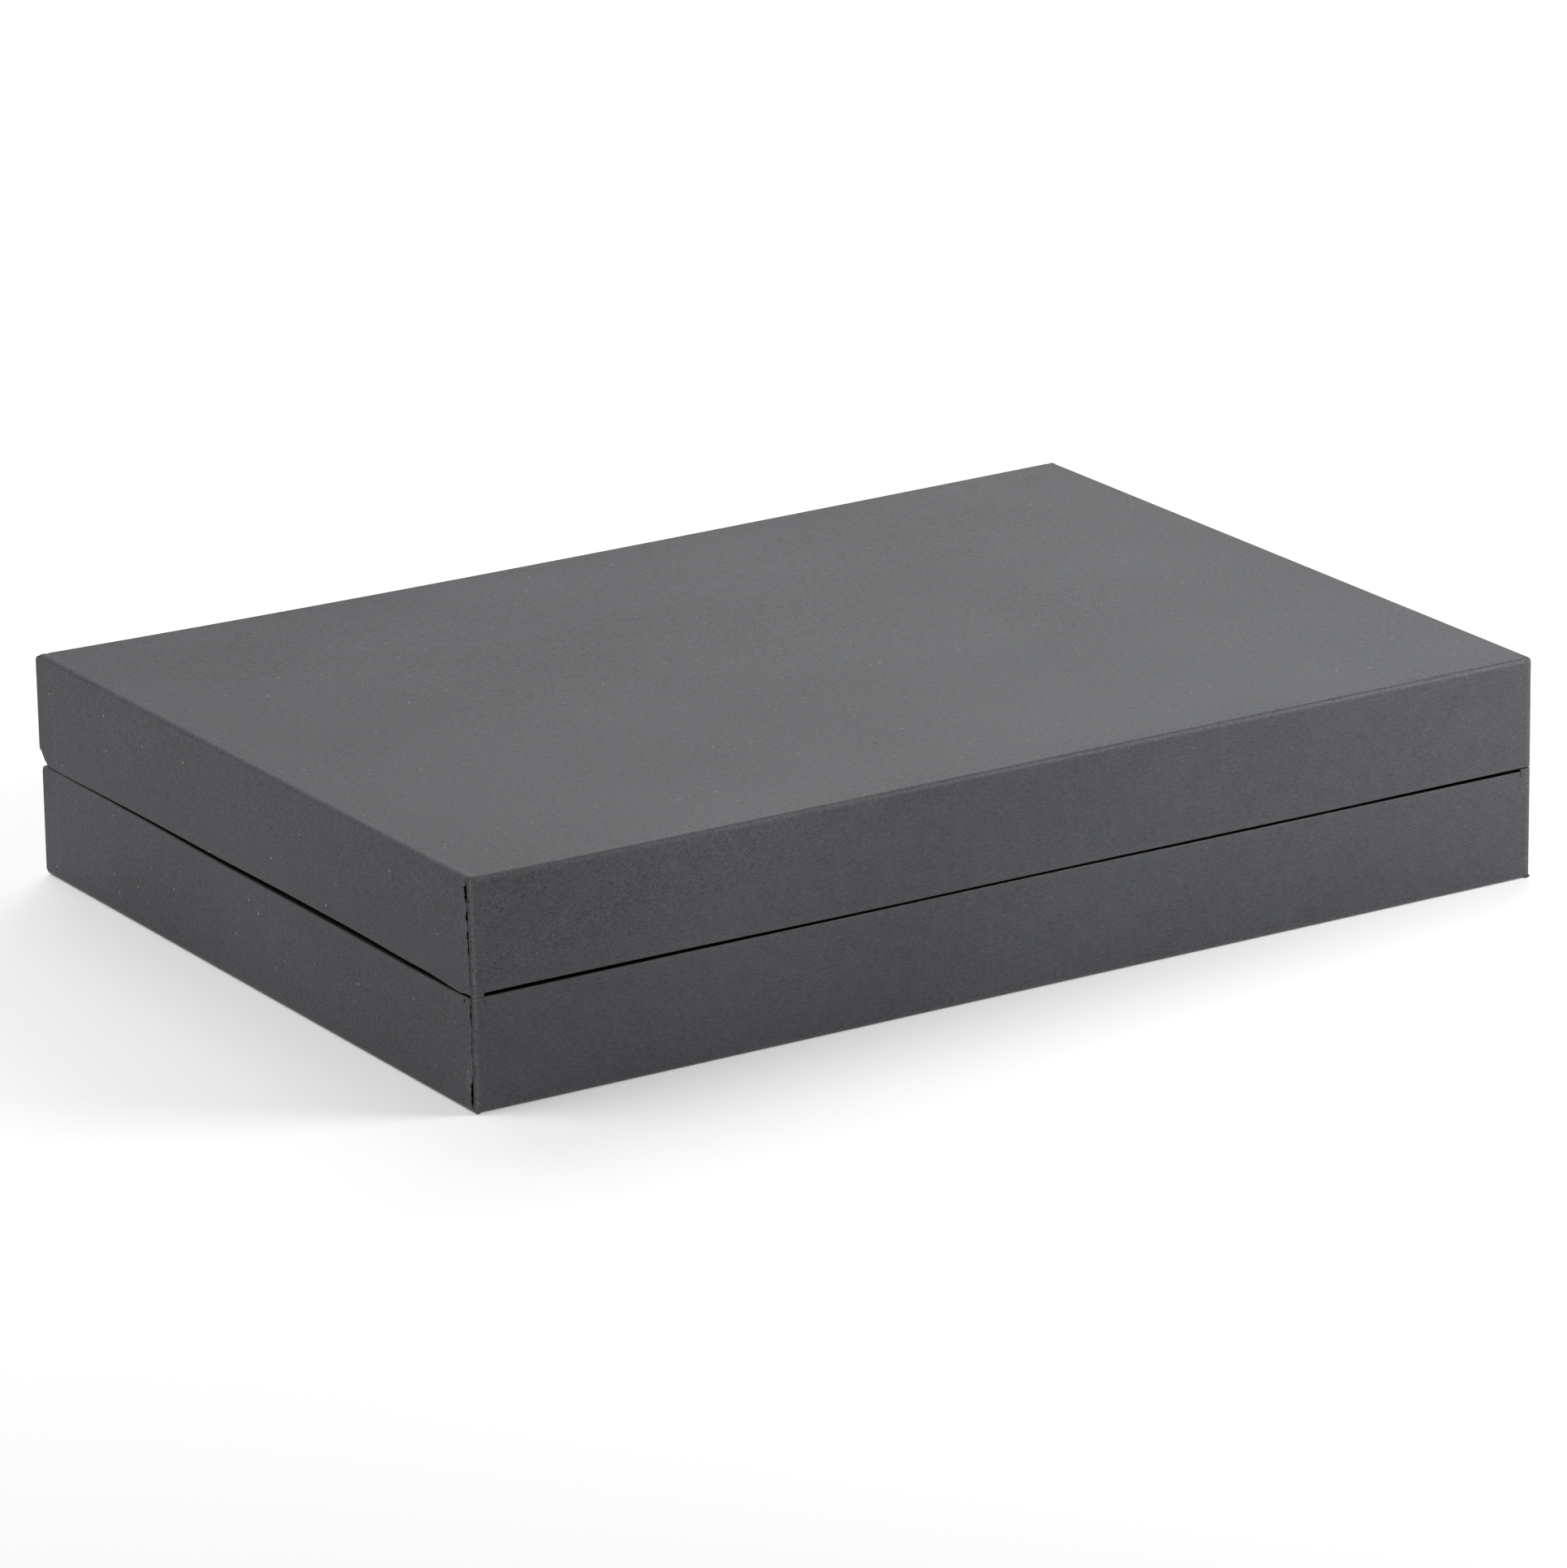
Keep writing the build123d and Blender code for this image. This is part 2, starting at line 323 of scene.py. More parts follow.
def board(name, outer, inner, free, tray, side="left", wear=0.0, slot="outer_board", scuff=0.0):
    """Closed board between two grids of corner coordinates.

    free says which grid borders are cut edges: first row, last row, first column, last column,
    each as one number or one for every edge, the share of the full softening. A border of 0 meets
    the next board at a crease, and stays square and unseen.
    """
    n, m = outer.shape[:2]
    skins = [warp(to_world(grid, tray, side), tray).reshape(-1, 3) for grid in (outer, inner)]
    verts = np.concatenate(skins) * MM
    index = np.arange(n * m).reshape(n, m)
    skin = np.stack([index[:-1, :-1], index[1:, :-1], index[1:, 1:], index[:-1, 1:]], -1).reshape(-1, 4)
    borders = [index[0], index[-1, ::-1], index[::-1, 0], index[:, -1]]
    faces, cut = [skin, skin[:, ::-1] + n * m], []
    free = [np.broadcast_to(np.asarray(share, float), len(line) - 1) for line, share in zip(borders, free)]
    for line, share in zip(borders, free):
        faces.append(np.stack([line[:-1], line[1:], line[1:] + n * m, line[:-1] + n * m], -1))
        cut.append((share == 1).astype(int))
    quads = np.concatenate(faces)
    mesh = bpy.data.meshes.new(name)
    mesh.from_pydata(verts.tolist(), [], quads.tolist())
    materials = np.concatenate([np.zeros(2 * len(skin), int), *cut])
    mesh.polygons.foreach_set("material_index", materials.astype(np.int32))
    mesh.polygons.foreach_set("use_smooth", np.ones(len(quads), bool))
    mark_edges(mesh, borders, free, n * m)
    for label, amount in (("wear", wear), ("scuff", scuff)):
        outside = np.broadcast_to(amount, (n, m)).ravel()
        both = np.concatenate([outside, 0 * outside]).astype(np.float32)
        mesh.attributes.new(label, "FLOAT", "POINT").data.foreach_set("value", both)
    mesh.update()
    face_outwards(mesh, verts, quads)
    piece = bpy.data.objects.new(name, mesh)
    bpy.context.scene.collection.objects.link(piece)
    bevel = piece.modifiers.new("soft_cut", "BEVEL")
    bevel.limit_method = "WEIGHT"
    bevel.width = CUT_R * MM
    bevel.segments = 2
    normals = piece.modifiers.new("flat_shading", "WEIGHTED_NORMAL")
    normals.keep_sharp = True
    return piece


def face_outwards(mesh, verts, quads):
    """Turns every face over if the closed mesh is inside out."""
    a, b, c, d = (verts[quads[:, k]] for k in range(4))
    volume = np.einsum("ij,ij->", a, np.cross(b, c)) + np.einsum("ij,ij->", a, np.cross(c, d))
    if volume < 0:
        mesh.flip_normals()


def mark_edges(mesh, borders, free, back_offset):
    """Marks the cut borders for softening and keeps the creased ones sharp."""
    found = {tuple(sorted(edge.vertices)): edge.index for edge in mesh.edges}
    weight = np.zeros(len(mesh.edges), np.float32)
    sharp = np.zeros(len(mesh.edges), bool)
    for line, shares in zip(borders, free):
        for offset in (0, back_offset):
            for p, q, share in zip(line[:-1] + offset, line[1:] + offset, shares):
                edge = found[tuple(sorted((int(p), int(q))))]
                weight[edge] = share
                sharp[edge] = share == 0
        for p in (line[0], line[-1]):
            sharp[found[tuple(sorted((int(p), int(p) + back_offset)))]] = True
    mesh.attributes.new("bevel_weight_edge", "FLOAT", "EDGE").data.foreach_set("value", weight)
    mesh.attributes.new("sharp_edge", "BOOLEAN", "EDGE").data.foreach_set("value", sharp)


def keep(piece, tray, node):
    """The piece rides with its tray and stands for its CAD node."""
    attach(piece, tray)
    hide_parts(node)


# ---- the boards ---------------------------------------------------------------------
def crossed(along, outline):
    """Index grids: the position along a wall, and the outline's two coordinates, outside and inside."""
    outer, inner = outline
    rows, cols = np.meshgrid(along, np.arange(len(outer)), indexing="ij")
    return rows, cols, outer[cols], inner[cols]


def wall_outline(top, reach=REACH):
    """A crease up from the floor and the wall above it, as (inwards, up)."""
    fold = quarter_fold((reach, reach), reach, CREASE_R, 270, -90)
    return join(fold, flat_run((0, reach), (0, top), (-1, 0)))


def rolled_in(inwards, up, low_top):
    """Height of a rim whose top falls away from its outer edge."""
    drop, width = RIM_SLOPE
    fall = drop * (1 - np.exp(-np.clip(inwards - 0.15, 0, None) / width))
    return up - fall * np.clip((up - low_top) / (RIM_TOP - low_top), 0, 1)


def crest(outline):
    """Wear on a crease, strongest on its outermost line."""
    outer = outline[0]
    return 1 - np.clip(np.hypot(outer[:, 0] - 0.3, outer[:, 1] - 0.3) / 1.3, 0, 1)


def lifted(up, old_top, new_top, strip=STRIP):
    """Stretches the strip below old_top so that its top reaches new_top."""
    low = old_top - strip
    return np.where(up > low, low + (up - low) * (new_top - low) / strip, up)


def nib_borders(is_nib):
    """Softening of a wall's top border: slight on its nibs, none where it runs on into the rim."""
    return np.where(is_nib[:-1] & is_nib[1:], NIB_SOFTENING, 0.0)


def length_grid():
    """Positions along the long walls, with the nibs' ends, so that panel and walls meet exactly."""
    inset = FRONT_RIM_INSET
    near = steps(REACH, inset - NIB_SIDE, 0.4)
    return np.unique(np.concatenate([near, steps(inset, LENGTH - inset), LENGTH - near]))


def depth_grid(start, end):
    """Positions along the end walls behind their torn front."""
    grid = np.concatenate([[END_RIM[0] - NIB_SIDE], steps(*END_RIM), [END_RIM[1] + NIB_SIDE]])
    return grid[(grid >= start) & (grid <= end)]


def floor_panel(tray):
    foot = NEAR_FRONT + REACH * (1 - NEAR_FRONT / TEAR)
    deep = np.concatenate([foot, depth_grid(TEAR, WIDTH - REACH), [WIDTH - REACH]])
    uu, vv = np.meshgrid(length_grid(), deep, indexing="ij")
    outer = np.stack([uu, vv, 0 * uu], -1)
    inner = outer + np.array([0, 0, BOARD])
    node = "base_bottom_panel" if tray == "base" else "lid_top_panel"
    keep(board(node + "_board", outer, inner, (0,) * 4, tray), tray, node)


def nib_top(tray, side):
    """Height of an upright corner before the tray is bent out of true."""
    x = HALF_X if side == "right" else -HALF_X
    return NIB_TOPS[tray, side] - float(rim_lift(tray, x, 1.0))


def front_walls(tray):
    inset = FRONT_RIM_INSET
    low_top = RIM_TOP - HAIRPIN
    outline = wall_outline(low_top)
    rows, cols, outside, inside = crossed(length_grid(), outline)
    at_left, at_right = rows < inset - TINY / 2, rows > LENGTH - inset + TINY / 2
    top = np.where(at_left, nib_top(tray, "left"), np.where(at_right, nib_top(tray, "right"), low_top))
    grids = [np.stack([rows, g[..., 0], lifted(g[..., 1], low_top, top)], -1) for g in (outside, inside)]
    free = (0, 0, 0, nib_borders((at_left | at_right)[:, 0]))
    wall = board(f"{tray}_front_outer_board", *grids, free, tray, wear=crest(outline))
    keep(wall, tray, f"{tray}_front_outer_wall")

    outline = join(quarter_fold((HAIRPIN, low_top), HAIRPIN, RIM_R, 180, -90),
                   quarter_fold((HAIRPIN, low_top), HAIRPIN, RIM_R, 90, -90))
    along = steps(inset - NIB_SIDE, LENGTH - inset + NIB_SIDE)
    rows, cols, outside, inside = crossed(along, outline)
    grids = [np.stack([rows, g[..., 0], rolled_in(g[..., 0], g[..., 1], low_top)], -1)
             for g in (outside, inside)]
    rim = board(f"{tray}_front_rim_board", *grids, (1, 1, 0, 0), tray, wear=0.1)
    keep(rim, tray, f"{tray}_front_rim")

    outline = flat_run((FRONT_WALL, low_top), (FRONT_WALL, REACH), (1, 0))
    rows, cols, outside, inside = crossed(steps(inset, LENGTH - inset), outline)
    grids = [np.stack([rows, g[..., 0], g[..., 1]], -1) for g in (outside, inside)]
    lining = board(f"{tray}_front_inner_board", *grids, (1, 1, 0, 1), tray, slot="inner_board")
    keep(lining, tray, f"{tray}_front_inner_wall")


def back_wall(tray):
    relief = LID_RELIEF if tray == "lid" else BASE_RELIEF
    start, end = BACK_WALL_INSET, LENGTH - BACK_WALL_INSET
    near = np.array([0.0, 0.4, 0.9, 1.5, 2.2, 3.0, 3.8, 4.6])
    along = np.unique(np.concatenate([start + near, steps(start + 6, end - 6), end - near]))
    outline = wall_outline(RIM_TOP)
    rows, cols, outside, inside = crossed(along, outline)
    top = RIM_TOP - np.clip(relief - np.minimum(rows - start, end - rows), 0, None)
    grids = [np.stack([rows, WIDTH - g[..., 0], lifted(g[..., 1], RIM_TOP, top, RIM_TOP - REACH)], -1)
             for g in (outside, inside)]
    wall = board(f"{tray}_back_board", *grids, (1, 1, 0, 1), tray, wear=crest(outline))
    keep(wall, tray, f"{tray}_back_wall")


def slit_edge(tray, h):
    """Front border of an end wall: how far it is from the front's outer face, by height.

    It nearly touches the front wall's corner, except where the torn slit gapes.
    """
    line = SLIT_CLOSED + SLIT_RAGGED * ragged(h, SLIT_SEED[tray])
    for height, half_length, width in SLIT_GAPS[tray]:
        gap = width + SLIT_RAGGED * ragged(h, GAP_SEED)
        line = line + gap * np.exp(-((h - height) / half_length) ** 4)
    foot = REACH if tray == "lid" else TONGUE
    return foot + (line - foot) * smooth((h - FOOT_HEIGHT[tray]) / 0.4)


def rear_top(tray, from_back):
    """Top border of an end wall beside the hinge, by distance from its back border."""
    if tray == "lid":
        torn = 0.22 * ragged(from_back, 31) * np.clip(from_back / 0.6, 0, 1)
        return RIM_TOP - np.clip(LID_RELIEF - from_back + torn, 0, None)
    r = BASE_RELIEF
    t = np.clip(r - from_back, 0, r)
    return RIM_TOP - (r - np.sqrt(r * r - t * t))


NEAR_BACK = np.array([0.0, 0.35, 0.7, 1.05, 1.4, 1.75, 2.1, 2.5, 2.9, 3.3, 3.7, 4.1, 4.5])
NEAR_FRONT = np.array([0.0, 0.25, 0.55, 0.9, 1.3, 1.8, 2.5, 3.2])
TEAR = 4.0                                 # how far back from the slit its unevenness reaches
SLIT_CLOSED = 0.85                         # how far the closed slit is from the front's outer face
SLIT_RAGGED = 0.2                          # its unevenness
SLIT_SEED = {"lid": 21, "base": 22}
GAP_SEED = 23
FOOT_HEIGHT = {"lid": 1.4, "base": 0.55}   # below this the wall's front border follows its crease instead
# where the slit gapes: height, half length and width of each gap
SLIT_GAPS = {"lid": ((4.3, 2.3, 1.1), (9.9, 1.8, 0.9), (17.0, 3.2, 0.65), (26.0, 2.2, 0.25)),
             "base": ((4.5, 3.8, 1.1), (27.0, 3.6, 0.5), (18.5, 2.5, 0.2))}
SCORE_AT, SCORE_HEIGHT = 9.5, 0.04         # faint ridge of the hinge score, from the back, on the left end
SCORE_WIDTH, SCORE_WEAR = 0.45, 0.35
BOW = 0.3                                  # how far the foot of the base's right end stands out
BOW_TOP, BOW_FADE = 11.5, 2.0              # up to this height, and the height over which it fades
BOW_START, BOW_LENGTH = 30.0, 25.0         # from this depth, and the depth over which it grows
NEAR_SCORE = SCORE_AT + np.array([-1.2, -0.6, -0.3, 0.0, 0.3, 0.6, 1.2])


def end_outer_wall(tray, side):
    back = WIDTH - (BASE_SETBACK if tray == "base" else 0.0)
    fold_end = WIDTH - REACH
    low_top = RIM_TOP - REACH
    rim_start, rim_end = END_RIM
    needed = np.concatenate([NEAR_FRONT, depth_grid(TEAR, back), [fold_end - TINY, fold_end, back]])
    along = merged(needed, np.concatenate([back - NEAR_BACK, WIDTH - NEAR_SCORE]))
    fold = quarter_fold((REACH, REACH), REACH, CREASE_R, 270, -90)
    outline = join(fold, flat_run((0, REACH), (0, low_top), (-1, 0), 0.4))
    folded = len(fold[0])
    rows, cols, outside, inside = crossed(along, outline)
    is_nib, is_rear = rows < rim_start - TINY / 2, rows > rim_end + TINY / 2
    rise = np.where(is_nib, RIM_TOP + END_NIB[tray], low_top)
    rear = np.where(is_rear, rear_top(tray, back - rows), low_top)
    ear_share = np.clip(1 - (back - rows) / EAR[0], 0, 1)
    ear_low = EAR[1] * (1 - np.sqrt(1 - ear_share ** 2))
    grids = []
    for skin, depth in ((outside, 0.0), (inside, BOARD)):
        a, b = skin[..., 0], lifted(lifted(skin[..., 1], low_top, rise), low_top, rear, REAR_STRIP)
        # past the back crease the board is flat, down to a rounded free corner
        is_ear = rows >= fold_end - TINY / 2
        ear_b = np.where(cols >= folded, b, ear_low + (REACH - ear_low) * cols / (folded - 1))
        a = np.where(is_ear, depth, a)
        b = np.where(is_ear, ear_b, b)
        # the front border is torn, and pared from behind to clear the flap's shoulder
        level = grids[0][..., 2] if grids else b
        start = slit_edge(tray, level)
        if tray == "base":
            # the flake under the corner narrows to a point at the end's outer face
            start = start + FLAKE_TAPER * (skin[..., 0] / REACH) * smooth((0.7 - level) / 0.3)
        s = rows + start * np.clip(1 - rows / TEAR, 0, 1)
        if grids:
            thin = np.clip((s - start) / 1.8, 0, 1)
            sliver = 0.15 + 0.85 * thin
            a = grids[0][..., 0] + (a - grids[0][..., 0]) * sliver
            b = level + (b - level) * sliver
        grids.append(np.stack([a, s, b], -1))
    if (tray, side) == ("base", "right"):
        for grid in grids:
            low = smooth((BOW_TOP - grid[..., 2]) / BOW_FADE)
            grid[..., 0] -= BOW * low * smooth((BOW_START - grid[..., 1]) / BOW_LENGTH)
    score = np.exp(-((WIDTH - rows - SCORE_AT) / SCORE_WIDTH) ** 2) if side == "left" else 0 * rows
    grids[0][..., 0] -= SCORE_HEIGHT * score * smooth((grids[0][..., 2] - 1.5) / 2)
    worn = np.maximum(crest(outline)[cols], SCORE_WEAR * score)
    corner = np.exp(-((grids[0][..., 1] - 2.2) / 1.6) ** 2) * smooth((grids[0][..., 2] - 2.5) / 3)
    scuff = corner * (smooth((15 - grids[0][..., 2]) / 5) if tray == "base" else 0.1)
    free = (1, 1, 0, np.where(is_rear[1:, 0], 1.0, nib_borders(is_nib[:, 0])))
    wall = board(f"{tray}_{side}_outer_board", *grids, free, tray, side, worn, scuff=scuff)
    keep(wall, tray, f"{tray}_{side}_outer_wall")


def end_rim_and_lining(tray, side):
    rim_start, rim_end = END_RIM
    low_top = RIM_TOP - REACH
    outline = join(quarter_fold((REACH, low_top), REACH, RIM_R, 180, -90),
                   flat_run((REACH, RIM_TOP), (END_WALL - REACH, RIM_TOP), (0, 1), 0.7),
                   quarter_fold((END_WALL - REACH, low_top), REACH, RIM_R, 90, -90))
    along = steps(rim_start - NIB_SIDE, rim_end + NIB_SIDE)
    rows, cols, outside, inside = crossed(along, outline)
    grids = [np.stack([g[..., 0], rows, rolled_in(g[..., 0], g[..., 1], low_top)], -1)
             for g in (outside, inside)]
    rim = board(f"{tray}_{side}_rim_board", *grids, (1, 1, 0, 0), tray, side, 0.1)
    keep(rim, tray, f"{tray}_{side}_rim")

    low = BOARD
    tail = extent(f"{tray}_{side}_inner_wall")[1][1] - FRONT
    along = np.unique(np.concatenate([steps(rim_start, tail - 5), tail - NEAR_BACK]))
    rows, cols = np.meshgrid(along, steps(low, low_top), indexing="ij")
    top = np.minimum(low_top, rear_top(tray, WIDTH - rows))
    h = low + (cols - low) * (top - low) / (low_top - low)
    outer = np.stack([np.full_like(rows, END_WALL), rows, h], -1)
    inner = outer - np.array([BOARD, 0, 0])
    free = (1, 1, 1, 0)
    lining = board(f"{tray}_{side}_inner_board", outer, inner, free, tray, side, slot="inner_board")
    keep(lining, tray, f"{tray}_{side}_inner_wall")


def cap_levels():
    """Levels of an upright corner's foot, as (inset of its outline, height), from the panel's corner."""
    flat = [(REACH, 0.0), ((REACH + CREASE_R) / 2, 0.0)]
    angles = np.radians(np.linspace(0, 90, 9))
    arc = [(CREASE_R * (1 - math.sin(a)), CREASE_R * (1 - math.cos(a))) for a in angles]
    return np.array(flat + arc + [(0.0, REACH)])


def front_flap(tray, side):
    """The front wall's upright corner, its shoulder, and the blade tucked behind the end wall."""
    blade_low, blade_high = BOARD + FLAP_PLAY, RIM_TOP - BOARD - FLAP_PLAY
    levels = cap_levels()
    rises = np.linspace(0, 1, 25)[1:]
    inset = np.concatenate([levels[:, 0], 0 * rises])
    corner_h = np.concatenate([levels[:, 1], REACH + rises * (nib_top(tray, side) - REACH)])
    angles = np.radians(270 - 90 * TURN)
    ways = np.stack([np.cos(angles), np.sin(angles)], 1)
    foot = np.array([PLY, CORNER_R + SHOULDER])
    grids = []
    for depth in (0.0, BOARD):
        in_by = np.minimum(inset + depth, REACH)[None, :]
        radius = np.clip(CORNER_R - in_by, 0, None)
        heart = np.maximum(in_by, CORNER_R)
        bend = [heart + radius * ways[:, k:k + 1] for k in (0, 1)]
        lead_in = [np.full_like(in_by, REACH), in_by]
        # below the cap the corner stands free of the end wall and turns in towards the blade
        turned = smooth((corner_h - REACH + 0.3) / 0.4)[None, :]
        lead_out = [in_by + 0.25 * PLY * turned, REACH + (CORNER_R + 0.2 * SHOULDER - REACH) * turned]
        ramp = np.linspace(0, 1, 5)[1:, None]
        leave = (lead_out[0][:, -1:], lead_out[1][:, -1:])
        shoulder = [leave[k] + ramp * (foot[k] + depth * (k == 0) - leave[k]) + 0 * in_by for k in (0, 1)]
        rear = steps(foot[1] + 0.4, FLAP_END)[:, None] + 0 * in_by
        blade = [np.full_like(rear, PLY + depth), rear]
        flat = [np.concatenate([lead_in[k], bend[k], lead_out[k], shoulder[k], blade[k]]) for k in (0, 1)]
        turns = 2 + len(ways)
        v = flat[1]
        cut = np.clip(v - (FLAP_END - FLAP_TAPER), 0, FLAP_TAPER)
        low, high = blade_low + cut, blade_high - cut
        blade_h = low + np.linspace(0, 1, len(corner_h)) * (high - low)
        settle = np.clip((np.arange(len(v))[:, None] - turns + 1) / 3, 0, 1)
        h = corner_h + (blade_h - corner_h) * settle
        if depth:
            h = h + np.clip(depth - corner_h, 0, None) * (1 - settle)
        grids.append(np.stack([flat[0], flat[1], h], -1))
    u, v = grids[0][..., 0], grids[0][..., 1]
    wear = np.clip(1 - np.hypot(u - 0.45, v) / 0.55, 0, 1)
    free = (0, 1, 0, NIB_SOFTENING)
    flap = board(f"{tray}_{side}_front_flap_board", *grids, free, tray, side, wear, scuff=wear)
    keep(flap, tray, f"{tray}_{side}_front_flap")


def back_flap(tray, side):
    """The back wall's upright corner and the blade behind the end wall."""
    blade_low, blade_high = BOARD + FLAP_PLAY, RIM_TOP - BOARD - FLAP_PLAY
    fold = quarter_fold((BACK_WALL_INSET, WIDTH - REACH), REACH, CREASE_R, 90, 90)
    blade_at = BACK_WALL_INSET - REACH
    blade = flat_run((blade_at, WIDTH - REACH), (blade_at, REAR_FLAP_START), (-1, 0))
    outer_line, inner_line = join(fold, blade)
    rows, cols = np.meshgrid(np.arange(len(outer_line)), np.linspace(0, 1, 14), indexing="ij")
    v = outer_line[rows, 1]
    on_corner = v > WIDTH - REACH - TINY
    cut = np.clip(REAR_FLAP_START + FLAP_TAPER - v, 0, FLAP_TAPER)
    low = np.where(on_corner, FLAP_PLAY, blade_low + cut)
    high = np.where(on_corner, RIM_TOP, blade_high - cut)
    relief = LID_RELIEF if tray == "lid" else BASE_RELIEF
    high = np.minimum(high, RIM_TOP - np.clip(relief - (WIDTH - v), 0, None))
    h = low + cols * (high - low)
    grids = [np.stack([line[rows, 0], line[rows, 1], h], -1) for line in (outer_line, inner_line)]
    free = (0, 1, 1, 1)
    flap = board(f"{tray}_{side}_back_flap_board", *grids, free, tray, side, slot="inner_board")
    keep(flap, tray, f"{tray}_{side}_back_flap")


def hinge_crease():
    """Crushed crease between the two back walls."""
    low, high = HINGE
    bottom, top = RIM_TOP - CREASE_LAP, HEIGHT - RIM_TOP + CREASE_LAP
    along, up = steps(low[0] + HALF_X, high[0] + HALF_X), np.linspace(bottom, top, 13)
    rows, cols = np.meshgrid(along, up, indexing="ij")
    dent = CREASE_DENT * np.sin(math.pi * (cols - bottom) / (top - bottom))
    outer = np.stack([rows, WIDTH - CREASE_INSET - dent, cols], -1)
    inner = np.stack([rows, 0 * rows + WIDTH - (high[1] - low[1]), cols], -1)
    strip = board("hinge_crease_board", outer, inner, (1, 1, 0, 0), "base", slot="hinge_crease")
    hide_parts("hinge_strip")
    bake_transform(strip)


def build_box():
    for tray in ("base", "lid"):
        floor_panel(tray)
        front_walls(tray)
        back_wall(tray)
        for side in ("left", "right"):
            end_outer_wall(tray, side)
            end_rim_and_lining(tray, side)
            front_flap(tray, side)
            back_flap(tray, side)
    hinge_crease()


# ---- materials ----------------------------------------------------------------------
class Nodes:
    """Short names for building one material's node tree."""

    def __init__(self, name):
        self.material = bpy.data.materials.new(name)
        self.material.use_nodes = True
        self.tree = self.material.node_tree
        self.shader = self.tree.nodes["Principled BSDF"]
        coords = self.tree.nodes.new("ShaderNodeTexCoord").outputs["Object"]
        self.mm = self.vector("SCALE", coords, scale=1 / MM)

    def vector(self, operation, a, b=None, scale=None):
        node = self.tree.nodes.new("ShaderNodeVectorMath")
        node.operation = operation
        self.tree.links.new(a, node.inputs[0])
        if b is not None:
            node.inputs[1].default_value = b
        if scale is not None:
            node.inputs["Scale"].default_value = scale
        return node.outputs[0]

    def math(self, operation, a, b=0.0, clamp=False):
        node = self.tree.nodes.new("ShaderNodeMath")
        node.operation = operation
        node.use_clamp = clamp
        for socket, value in zip(node.inputs, (a, b)):
            if isinstance(value, (int, float)):
                socket.default_value = value
            else:
                self.tree.links.new(value, socket)
        return node.outputs[0]

    def ramp(self, value, low, high, to_low=0.0, to_high=1.0):
        """Smooth clamped change from to_low to to_high as value goes from low to high."""
        node = self.tree.nodes.new("ShaderNodeMapRange")
        node.interpolation_type = "SMOOTHSTEP"
        self.tree.links.new(value, node.inputs["Value"])
        for name, number in (("From Min", low), ("From Max", high), ("To Min", to_low), ("To Max", to_high)):
            node.inputs[name].default_value = number
        return node.outputs["Result"]

    def noise(self, size, stretch=(1, 1, 1), offset=0.0, detail=2.0, roughness=0.5):
        """Noise whose features are about size millimetres, longer along the stretched axes."""
        at = self.vector("MULTIPLY", self.mm, [1 / s for s in stretch])
        at = self.vector("ADD", at, (offset, offset * 1.7, offset * 2.3))
        node = self.tree.nodes.new("ShaderNodeTexNoise")
        node.inputs["Scale"].default_value = 1 / size
        node.inputs["Detail"].default_value = detail
        node.inputs["Roughness"].default_value = roughness
        self.tree.links.new(at, node.inputs["Vector"])
        return node.outputs["Fac"]

    def specks(self, spacing, radius, share, offset=0.0):
        """1 on small round specks, in this share of cells spacing millimetres wide."""
        at = self.vector("ADD", self.mm, (offset, offset * 1.3, offset * 0.7))
        node = self.tree.nodes.new("ShaderNodeTexVoronoi")
        node.inputs["Scale"].default_value = 1 / spacing
        self.tree.links.new(at, node.inputs["Vector"])
        split = self.tree.nodes.new("ShaderNodeSeparateColor")
        self.tree.links.new(node.outputs["Color"], split.inputs["Color"])
        chosen = self.ramp(split.outputs["Red"], 1 - share, 1 - share + 0.01)
        reach = self.math("MULTIPLY", self.math("MULTIPLY", split.outputs["Green"], chosen), radius / spacing)
        inside = self.math("SUBTRACT", reach, node.outputs["Distance"])
        return self.ramp(inside, 0.0, 0.25 * radius / spacing)

    def amount(self, label):
        """How much of "wear" or "scuff" the piece has here."""
        node = self.tree.nodes.new("ShaderNodeAttribute")
        node.attribute_name = label
        return node.outputs["Fac"]

    def add(self, *terms):
        total = terms[0]
        for term in terms[1:]:
            total = self.math("ADD", total, term)
        return total

    def scaled(self, value, middle, amount):
        """amount times how far value is from its middle."""
        return self.math("MULTIPLY", self.math("SUBTRACT", value, middle), amount)

    def colour(self, dark, light, factor):
        node = self.tree.nodes.new("ShaderNodeMix")
        node.data_type = "RGBA"
        self.tree.links.new(factor, node.inputs["Factor"])
        for socket, value in ((node.inputs["A"], dark), (node.inputs["B"], light)):
            if isinstance(value, tuple):
                socket.default_value = (*value, 1)
            else:
                self.tree.links.new(value, socket)
        return node.outputs["Result"]

    def tinted(self, colour, brightness):
        """A colour times a brightness that varies over the surface."""
        node = self.tree.nodes.new("ShaderNodeVectorMath")
        node.operation = "SCALE"
        node.inputs[0].default_value = colour
        self.tree.links.new(brightness, node.inputs["Scale"])
        return node.outputs[0]

    def bump(self, height, depth_mm, strength=1.0):
        node = self.tree.nodes.new("ShaderNodeBump")
        node.inputs["Strength"].default_value = strength
        node.inputs["Distance"].default_value = depth_mm * MM
        self.tree.links.new(height, node.inputs["Height"])
        self.tree.links.new(node.outputs["Normal"], self.shader.inputs["Normal"])

    def finish(self, colour, roughness):
        self.tree.links.new(colour, self.shader.inputs["Base Color"])
        self.tree.links.new(roughness, self.shader.inputs["Roughness"])
        return self.material


BOARD_TONE = (0.0474, 0.0493, 0.0540)
DUST = (0.36, 0.365, 0.37)
SCUFF = (0.135, 0.137, 0.142)
ROUGHNESS = 0.6


